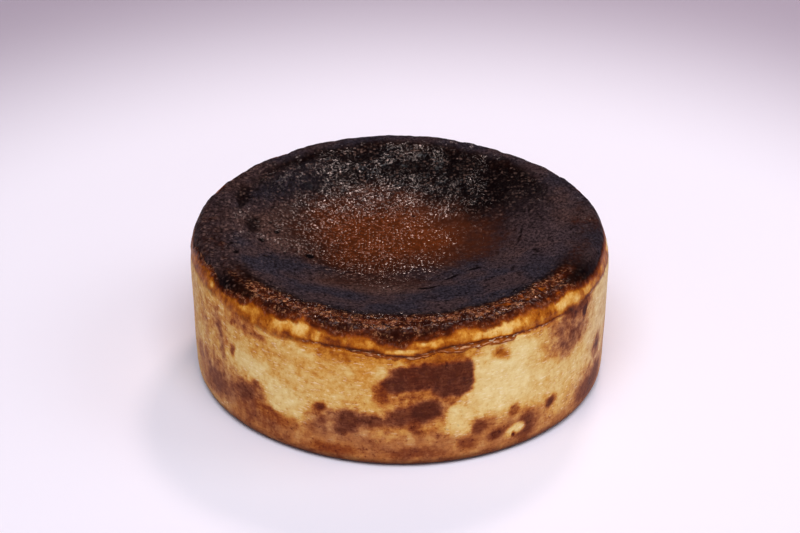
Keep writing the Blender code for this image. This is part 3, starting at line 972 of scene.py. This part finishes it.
def crustColour(s, setup, scorch, dome, crumbs):  # char, painted blue-grey sheen mixed with ash-brown where dull, red in the middle
    colour = s.ramp(scorch, setup["crust"])
    smooth = s.times(s.field("dustAndSheen"), s.step(scorch, 0.62, 0.92))
    broad = s.hills(11.0, 3, 0.5, (0.6, 0.8, 1))
    # painted reflection: blue-grey sheen, mixed with ash-brown dust
    dustAndSheen = s.mix(s.step(broad, 0.40, 0.62), setup["sheenBlue"], setup["charBrown"])
    dustAndSheen = s.mix(s.field("ashy"), dustAndSheen, setup["ash"])
    fine = s.plus(s.hills(0.9, 3, 0.8, (1, 0.7, 1)), s.spread(broad, -0.08, 0.08))
    dustAndSheen = s.mix(s.times(s.step(fine, 0.60, 0.36), 0.80), dustAndSheen, setup["char"])
    dustAndSheen = s.mix(s.times(s.step(fine, 0.58, 0.74), 0.16), dustAndSheen, setup["grainTopGlint"])
    pores = s.step(s.cells(setup["poresApart"]).outputs["Distance"], 0.26, 0.12)
    colour = s.mix(smooth, colour, s.mix(s.times(pores, 0.8), dustAndSheen, setup["char"]))
    red = s.plus(s.field("redMiddle"), s.spread(s.hills(2.6, 5, 0.72), -0.26, 0.26))
    colour = s.mix(s.step(red, 0.0, 0.46), colour, s.ramp(red, setup["middle"]))
    uneven = s.step(s.hills(3.5, 3, 0.6), 0.30, 0.70)
    grainy = s.field("grainy")
    # painted shade in the creases between the grains
    gapShade = s.times(s.step(dome, 0.62, 0.30), s.times(grainy, 0.55))
    colour = s.mix(gapShade, colour, setup["char"])
    crest = s.times(s.step(s.field("scorch"), 0.84, 0.66), s.step(s.field("scorch"), 0.30, 0.50))
    # painted shade in the clefts between the crest's crumbs
    cleftShadeShare = s.times(s.step(crumbs, 0.55, 0.20), s.times(crest, grainy))
    colour = s.mix(s.times(cleftShadeShare, 0.95), colour, setup["cleftShade"])
    # lighter grain tops: partly caramel, partly painted glints
    tops = s.times(s.step(dome, 0.55, 0.98), s.times(grainy, s.spread(uneven, 0.04, 0.30)))
    colour = s.mix(tops, colour, setup["grainTopGlint"])
    # painted glints: pale flecks over the crest's crumbs
    crestGlintShare = s.times(s.times(crest, grainy), s.step(s.hills(1.5, 4, 0.8), 0.52, 0.62))
    crestGlintShare = s.times(crestGlintShare, s.step(crumbs, 0.25, 0.55))
    colour = s.mix(s.times(crestGlintShare, 0.74), colour, setup["crestGlint"])
    # pits painted black: painted shade in their hollows
    return s.mix(s.step(s.field("pitDepth"), 0.10, 0.40), colour, setup["char"])


def makeBake(setup):
    paint, s, shader = newPaint("bakedCheesecake")
    rolled, folded = foldTones(s)
    toCrack = s.plus(s.field("crackGap"), s.spread(s.hills(1.2, 3, 0.6), -0.25, 0.25))
    crack = s.step(toCrack, 1.5, 0.6)

    band = s.field("bandShare")
    colour = s.mix(band, sideColour(s, setup, rolled, folded), bandColour(s, setup, folded))
    scorch = s.plus(s.field("scorch"), s.spread(s.hills(1.4, 4, 0.68), -0.20, 0.20))
    dome = s.domes(setup["domesApart"])
    bumps = s.mixNumber(s.times(s.field("wrinkled"), 0.50), dome, s.ridges(setup["ridgesApart"]))
    crumbs = s.domes(setup["crumbsApart"])
    colour = s.mix(s.step(scorch, 0.02, 0.26), colour, crustColour(s, setup, scorch, dome, crumbs))
    # cracks painted near black: painted shade in their grooves
    colour = s.mix(s.times(crack, 0.92), colour, setup["char"])
    s.plug(shader.inputs["Base Color"], colour)

    charred = s.step(scorch, 0.30, 0.60)
    crustRoughness = s.spread(s.hills(2.3, 3, 0.6), *setup["crustRoughness"])
    sideRoughness = s.spread(s.hills(1.6, 4, 0.7), *setup["sideRoughness"])
    s.plug(shader.inputs["Roughness"], s.mixNumber(charred, sideRoughness, crustRoughness))
    shader.inputs["Specular IOR Level"].default_value = setup["specularLevel"]
    shader.inputs["Coat Roughness"].default_value = setup["coatRoughness"]
    glaze = s.step(s.hills(6.0, 3, 0.6), 0.42, 0.62)
    glazeCoat = s.plus(setup["glazeCoat"], s.times(band, setup["bandCoat"]))
    sideCoat = s.plus(setup["sideCoat"], s.times(glaze, glazeCoat))
    sideCoat = s.plus(sideCoat, s.times(rolled, setup["rollCoat"]))
    uncracked = s.step(s.field("crackGap"), 1.0, 2.2)
    glossy = s.times(s.field("gloss"), uncracked)
    crustCoat = s.times(glossy, s.spread(s.step(bumps, 0.28, 0.60), *setup["crustCoat"]))
    s.plug(shader.inputs["Coat Weight"], s.mixNumber(charred, sideCoat, crustCoat))

    crumbs = s.times(crumbs, s.step(s.field("scorch"), 0.80, 0.64))
    coarse = s.times(s.plus(bumps, s.times(crumbs, 1.3)), s.times(s.field("grainy"), charred))
    grit = s.times(s.hills(0.6, 2, 0.6), s.spread(charred, 0.3, 1.0))
    height = s.plus(s.times(coarse, setup["crustBumps"]), s.times(grit, setup["crustGrit"]))
    height = s.plus(height, s.times(crack, -setup["crackDepth"]))
    brushed = s.times(s.hills(1.3, 4, 0.7, (0.55, 0.55, 1.8)), s.spread(charred, setup["sideGrain"], 0.0))
    height = s.plus(height, brushed)
    bump = s.add("Bump", {"Strength": 1.0, "Distance": mm, "Height": height}).outputs["Normal"]
    s.plug(shader.inputs["Normal"], bump)
    s.plug(shader.inputs["Coat Normal"], bump)
    return paint


cake.data.materials.append(makeBake(bake))
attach(cake, "root")
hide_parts("cheesecake")
print("finish made")
